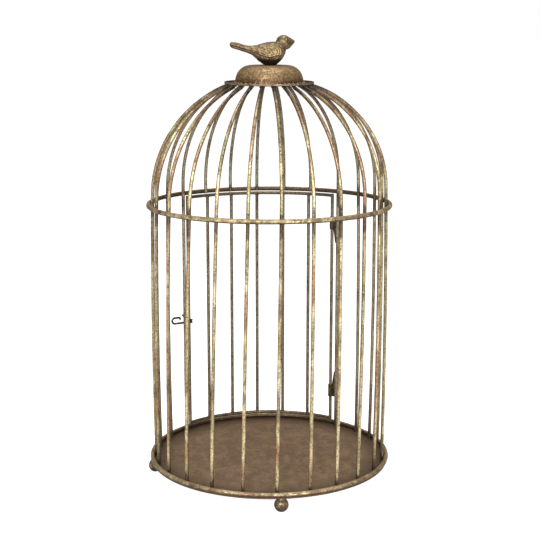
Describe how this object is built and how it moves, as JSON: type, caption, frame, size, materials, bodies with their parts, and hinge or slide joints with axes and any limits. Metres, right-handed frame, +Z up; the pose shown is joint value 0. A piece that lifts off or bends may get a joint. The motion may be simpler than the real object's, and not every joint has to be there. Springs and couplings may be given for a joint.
{
  "type": "birdcage wedding card box",
  "caption": "Round wire birdcage for wedding cards, with a domed top, a small bird on its cap, ball feet and a latched door in its back wall.",
  "frame": {"origin": "on the table, under the cage's axis", "axes": "+Z up, +Y towards the door at the back, +X towards the bird's beak"},
  "size_m": [0.2562, 0.2562, 0.4527],
  "materials": {
    "bar_wire": "antique gold paint rubbed back to a dark brown patina, satin",
    "ring_wire": "antique gold paint with a dark brown patina, satin",
    "door_wire": "antique gold paint with a dark brown patina, satin",
    "foot_metal": "antique gold over dark brown, satin",
    "hinge_sheet": "dark brown patina, satin",
    "latch_wire": "dark olive-brown patina, satin",
    "pan_sheet": "brushed bronze-brown paint, dull satin",
    "cap_sheet": "antique bronze-gold paint, mottled, satin",
    "bird_metal": "antique gold over dark brown, rubbed bright on the feathers",
    "screw_steel": "plain zinc-plated steel"
  },
  "bodies": {
    "cage": {"base_pan": "pan_sheet", "base_ring": "ring_wire", "bird": "bird_metal", "bird_screw": "screw_steel", "cage_bar_00": "bar_wire", "cage_bar_01": "bar_wire", "cage_bar_02": "bar_wire", "cage_bar_03": "bar_wire", "cage_bar_04": "bar_wire", "cage_bar_05": "bar_wire", "cage_bar_06": "bar_wire", "cage_bar_07": "bar_wire", "cage_bar_08": "bar_wire", "cage_bar_16": "bar_wire", "cage_bar_17": "bar_wire", "cage_bar_18": "bar_wire", "cage_bar_19": "bar_wire", "cage_bar_20": "bar_wire", "cage_bar_21": "bar_wire", "cage_bar_22": "bar_wire", "cage_bar_23": "bar_wire", "cap_dome": "cap_sheet", "cap_plate": "cap_sheet", "dome_wire_1": "bar_wire", "dome_wire_2": "bar_wire", "dome_wire_3": "bar_wire", "dome_wire_4": "bar_wire", "dome_wire_5": "bar_wire", "foot_back": "foot_metal", "foot_front": "foot_metal", "foot_left": "foot_metal", "foot_right": "foot_metal", "hinge_lower": "hinge_sheet", "hinge_post": "bar_wire", "hinge_upper": "hinge_sheet", "latch_post": "bar_wire", "mid_hoop": "ring_wire"},
    "door": {"door_bar_1": "door_wire", "door_bar_2": "door_wire", "door_bar_3": "door_wire", "door_bar_4": "door_wire", "door_bar_5": "door_wire", "door_bottom_rail": "door_wire", "door_hinge_stile": "door_wire", "door_latch_stile": "door_wire", "door_top_rail": "door_wire"},
    "latch": {"door_latch": "latch_wire"}
  },
  "joints": [
    {"name": "door_swing", "type": "hinge", "parent": "cage", "child": "door", "pos_m": [0.0786, 0.08915, 0.1516], "axis": [0, 0, -1], "range_deg": [0, 135]},
    {"name": "latch_turn", "type": "hinge", "parent": "door", "child": "latch", "pos_m": [-0.08121, 0.08678, 0.1417], "axis": [0, 0, -1], "range_deg": [-15, 120]}
  ]
}
